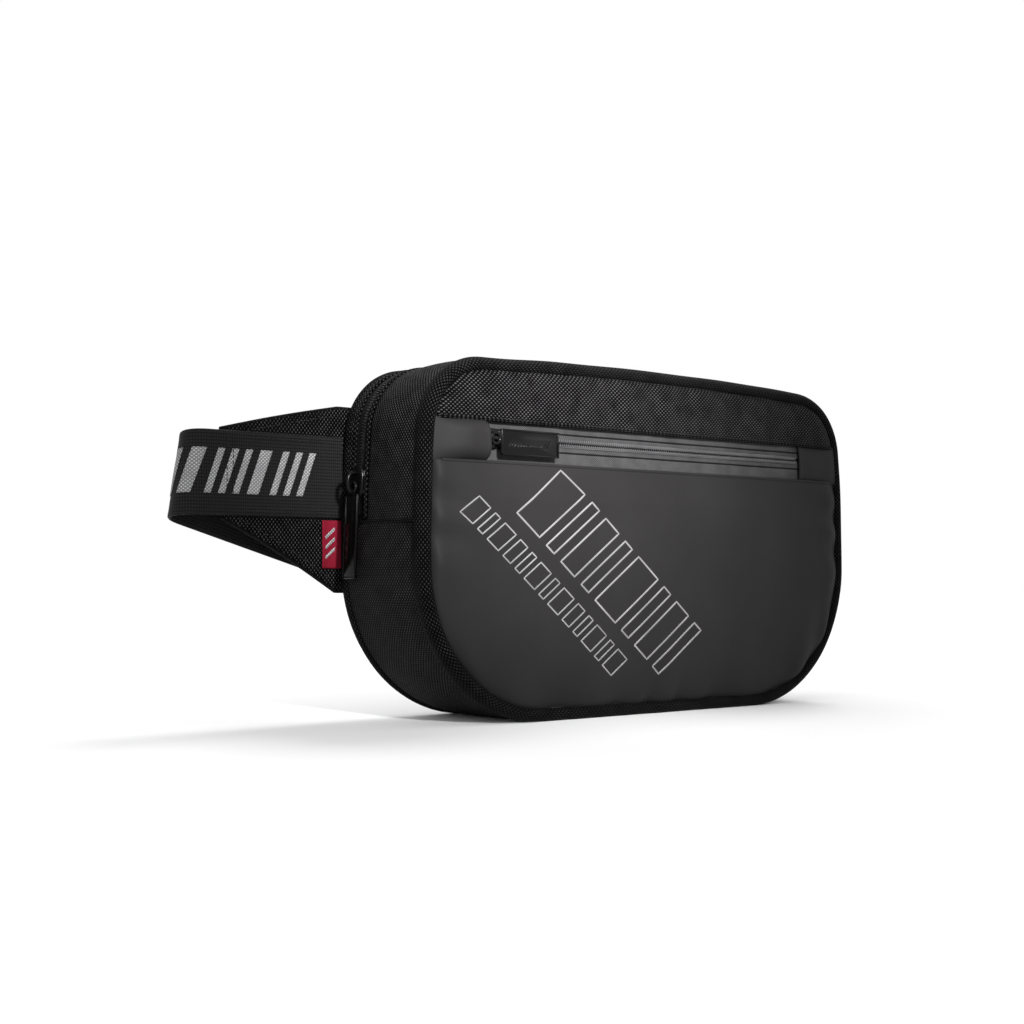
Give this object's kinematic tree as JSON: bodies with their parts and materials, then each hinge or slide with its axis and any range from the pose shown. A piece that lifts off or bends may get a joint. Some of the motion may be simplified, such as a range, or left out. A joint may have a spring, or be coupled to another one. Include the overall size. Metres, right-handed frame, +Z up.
{
  "type": "waist pack",
  "caption": "Black waist pack with a curved top zip, a zipped front pocket, padded back and a folded webbing belt with a side release buckle",
  "frame": {"origin": "Middle of the flat bottom on which the bag stands.", "axes": "+Z up, -Y towards the front pocket, +X along the width, so that the folded belt half lies at -X."},
  "size_m": [0.3738, 0.0935, 0.168],
  "materials": {
    "ballistic_nylon": "coarse ballistic weave, matte black",
    "coated_fabric": "matte charcoal coated cloth",
    "zip_tape": "woven zip tape",
    "zip_coil": "nylon coil, satin",
    "slider_enamel": "gloss black enamel",
    "webbing": "woven belt webbing, satin",
    "binding": "woven edge binding",
    "foam": "padding under spacer mesh",
    "mesh": "spacer mesh, matte",
    "lining": "thin woven lining",
    "label_cloth": "woven red label",
    "elastic": "knitted elastic",
    "buckle_plastic": "moulded acetal, fine grain"
  },
  "bodies": {
    "bag": {"gusset_lower": "ballistic_nylon", "gusset_front_upper": "ballistic_nylon", "gusset_rear_upper": "ballistic_nylon", "main_zip_tape_front": "zip_tape", "main_zip_tape_rear": "zip_tape", "main_zip_coil": "zip_coil", "front_piping": "binding", "rear_piping": "binding", "side_lining": "lining", "back_panel": "mesh", "back_foam": "foam", "back_lining": "lining", "inner_slip_pocket": "lining", "inner_pocket_hem": "binding", "front_top_panel": "ballistic_nylon", "front_pocket_panel": "coated_fabric", "pocket_flap_left": "coated_fabric", "pocket_flap_right": "coated_fabric", "pocket_zip_tape_upper": "zip_tape", "pocket_zip_tape_lower": "zip_tape", "pocket_zip_coil": "zip_coil", "pocket_backing": "lining", "front_lining": "lining"},
    "main_slider": {"main_zip_slider": "slider_enamel"},
    "main_pull": {"main_pull_tab": "slider_enamel"},
    "front_slider": {"front_zip_slider": "slider_enamel"},
    "front_pull": {"front_pull_tab": "slider_enamel"},
    "left_wing": {"left_wing_outer": "ballistic_nylon", "left_wing_inner": "mesh", "left_wing_binding": "binding", "left_belt_outer": "webbing", "left_belt_fold": "webbing", "side_label": "label_cloth"},
    "belt_run": {"left_belt_return": "webbing"},
    "socket": {"buckle_socket": "buckle_plastic"},
    "right_wing": {"right_wing_outer": "ballistic_nylon", "right_wing_inner": "mesh", "right_wing_binding": "binding", "right_belt": "webbing"},
    "keeper": {"belt_keeper": "elastic"},
    "plug": {"buckle_plug": "buckle_plastic"},
    "prong_upper": {"buckle_prong_upper": "buckle_plastic"},
    "prong_lower": {"buckle_prong_lower": "buckle_plastic"}
  },
  "joints": [
    {"name": "main_slider_travel", "type": "slide", "parent": "bag", "child": "main_slider", "axis": [0.0415, 0, 0.9991], "range_m": [0, 0.02]},
    {"name": "main_pull_swing", "type": "hinge", "parent": "main_slider", "child": "main_pull", "pos_m": [-0.14552, 0.018, 0.11013], "axis": [0, 1, 0], "range_deg": [0, 165]},
    {"name": "front_slider_travel", "type": "slide", "parent": "bag", "child": "front_slider", "axis": [1, 0, 0], "range_m": [0, 0.19]},
    {"name": "front_pull_swing", "type": "hinge", "parent": "front_slider", "child": "front_pull", "pos_m": [-0.1075, -0.0365, 0.129], "axis": [0, 0, -1], "range_deg": [0, 90]},
    {"name": "left_wing_swing", "type": "hinge", "parent": "bag", "child": "left_wing", "pos_m": [-0.1438, 0.0335, 0.1], "axis": [0, 0, 1], "range_deg": [0, 45]},
    {"name": "left_belt_unfold", "type": "hinge", "parent": "left_wing", "child": "belt_run", "pos_m": [-0.2145, 0.0402, 0.1127], "axis": [0.1478, 0, 0.989], "range_deg": [0, 165], "deforming": ["left_belt_fold"]},
    {"name": "socket_swivel", "type": "hinge", "parent": "belt_run", "child": "socket", "pos_m": [-0.01042, 0.0484, 0.04632], "axis": [0.2924, 0, 0.9563], "range_deg": [-8, 70]},
    {"name": "right_wing_swing", "type": "hinge", "parent": "bag", "child": "right_wing", "pos_m": [0.1443, 0.0337, 0.1], "axis": [0, 0, -1], "range_deg": [0, 165]},
    {"name": "keeper_travel", "type": "slide", "parent": "right_wing", "child": "keeper", "axis": [1, 0, 0], "range_m": [-0.03, 0.015]},
    {"name": "plug_swivel", "type": "hinge", "parent": "right_wing", "child": "plug", "pos_m": [-0.03, 0.04045, 0.1127], "axis": [0, 0, -1], "range_deg": [-3, 75]},
    {"name": "prong_upper_flex", "type": "hinge", "parent": "plug", "child": "prong_upper", "pos_m": [-0.0424, 0.04045, 0.1252], "axis": [0, -1, 0], "range_deg": [0, 6], "stiffness_Nm_per_rad": 0.6},
    {"name": "prong_lower_flex", "type": "hinge", "parent": "plug", "child": "prong_lower", "pos_m": [-0.0424, 0.04045, 0.1002], "axis": [0, 1, 0], "range_deg": [0, 6], "stiffness_Nm_per_rad": 0.6}
  ],
  "couplings": [
    {"joint": "prong_lower_flex", "follows": "prong_upper_flex", "ratio": 1}
  ]
}
